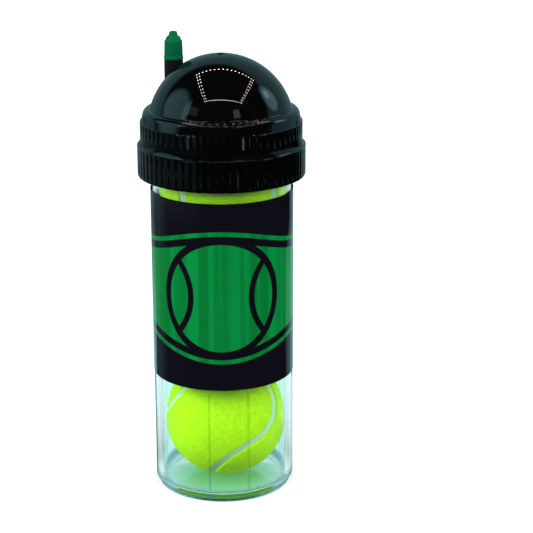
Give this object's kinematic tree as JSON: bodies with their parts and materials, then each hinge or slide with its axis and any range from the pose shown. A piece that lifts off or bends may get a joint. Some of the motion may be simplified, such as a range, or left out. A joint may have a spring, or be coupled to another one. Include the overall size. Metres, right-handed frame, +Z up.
{
  "type": "tennis ball can",
  "caption": "Clear screw-lid can that keeps tennis balls under pressure, with a black domed lid, an air valve under a green dust cap and a printed sleeve.",
  "frame": {"origin": "middle of the foot, on the table", "axes": "+Z up along the jar, -Y towards the viewer, +X to the right in the picture"},
  "size_m": [0.0896, 0.0896, 0.2489],
  "materials": {
    "clear_plastic": "clear",
    "label_film": "glossy print",
    "black_plastic": "polished",
    "seal_rubber": "matte",
    "stem_rubber": "satin",
    "nickel_plate": "nickel plated",
    "core_brass": "bright",
    "red_seal": "matte",
    "spring_steel": "drawn wire",
    "green_plastic": "satin",
    "ball_rubber": "matte",
    "felt": "napped",
    "seam_rubber": "matte"
  },
  "bodies": {
    "jar": {"jar": "clear_plastic", "label_sleeve": "label_film"},
    "lid_seal": {"lid_gasket": "seal_rubber"},
    "lid": {"lid": "black_plastic", "valve_stem": "stem_rubber", "valve_barrel": "nickel_plate", "valve_core": "core_brass", "valve_core_seal": "red_seal", "valve_spring": "spring_steel"},
    "valve_pin": {"valve_pin": "core_brass", "valve_pin_washer": "seal_rubber"},
    "cap_washer": {"dust_cap_washer": "seal_rubber"},
    "dust_cap": {"dust_cap": "green_plastic"},
    "ball_bottom": {"ball_bottom_core": "ball_rubber", "ball_bottom_felt_a": "felt", "ball_bottom_felt_b": "felt", "ball_bottom_seam": "seam_rubber"},
    "ball_middle": {"ball_middle_core": "ball_rubber", "ball_middle_felt_a": "felt", "ball_middle_felt_b": "felt", "ball_middle_seam": "seam_rubber"},
    "ball_top": {"ball_top_core": "ball_rubber", "ball_top_felt_a": "felt", "ball_top_felt_b": "felt", "ball_top_seam": "seam_rubber"}
  },
  "joints": [
    {"name": "lid_lift", "type": "slide", "parent": "jar", "child": "lid_seal", "axis": [0, 0, 1], "range_m": [0, 0.036]},
    {"name": "lid_turn", "type": "hinge", "parent": "lid_seal", "child": "lid", "pos_m": [0, 0, 0.19], "axis": [0, 0, 1], "range_deg": [0, 1080]},
    {"name": "valve_pin_press", "type": "slide", "parent": "lid", "child": "valve_pin", "axis": [0, 0, -1], "range_m": [0, 0.0012], "stiffness_N_per_m": 400, "springref_m": -0.003, "deforming": ["valve_spring"]},
    {"name": "dust_cap_lift", "type": "slide", "parent": "lid", "child": "cap_washer", "axis": [0, 0, 1], "range_m": [0, 0.0127]},
    {"name": "dust_cap_turn", "type": "hinge", "parent": "cap_washer", "child": "dust_cap", "pos_m": [-0.02536, 0.01406, 0.238], "axis": [0, 0, 1], "range_deg": [0, 5760]},
    {"name": "ball_bottom_slide", "type": "slide", "parent": "jar", "child": "ball_bottom", "axis": [0, 0, 1], "range_m": [0, 0.0115]},
    {"name": "ball_middle_slide", "type": "slide", "parent": "jar", "child": "ball_middle", "axis": [0, 0, 1], "range_m": [0, 0.0115]},
    {"name": "ball_top_slide", "type": "slide", "parent": "jar", "child": "ball_top", "axis": [0, 0, 1], "range_m": [0, 0.0115]}
  ],
  "couplings": [
    {"joint": "lid_lift", "follows": "lid_turn", "m_per_rad": 0.0019099},
    {"joint": "dust_cap_turn", "follows": "dust_cap_lift", "rad_per_m": 7915.8},
    {"joint": "ball_middle_slide", "follows": "ball_bottom_slide", "ratio": 1},
    {"joint": "ball_top_slide", "follows": "ball_bottom_slide", "ratio": 1}
  ]
}
